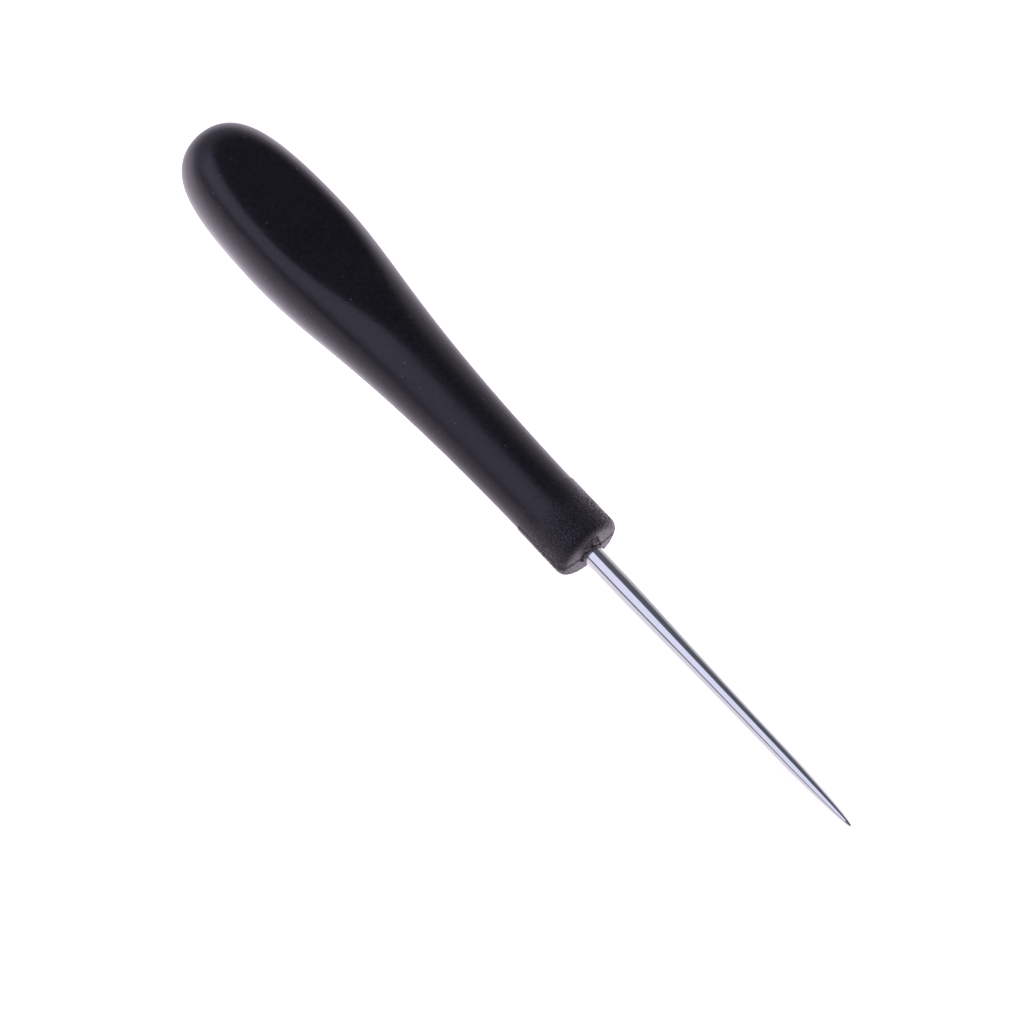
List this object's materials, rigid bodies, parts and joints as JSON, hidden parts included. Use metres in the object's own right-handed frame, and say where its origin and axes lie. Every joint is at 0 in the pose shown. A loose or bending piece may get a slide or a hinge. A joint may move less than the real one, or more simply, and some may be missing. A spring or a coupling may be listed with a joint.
{
  "type": "scratch awl",
  "caption": "Scratch awl: a polished tapered steel spike moulded into a black plastic handle with a grained collar and a smooth grip that has a shallow thumb rest on each side.",
  "frame": {"origin": "centre of the collar's front face, on the tool's axis, where the spike leaves the handle", "axes": "+X along the tool's axis towards the point, +Z out of the upper thumb rest, +Y across the rests"},
  "size_m": [0.1645, 0.0206, 0.0158],
  "materials": {
    "spike_steel": "bright polished steel with fine lengthwise grinding marks",
    "core_plastic": "black hard plastic with a fine moulded leather grain",
    "grip_plastic": "black satin-smooth overmoulded plastic"
  },
  "bodies": {
    "root": {"spike": "spike_steel", "handle_core": "core_plastic", "grip": "grip_plastic"}
  },
  "joints": []
}
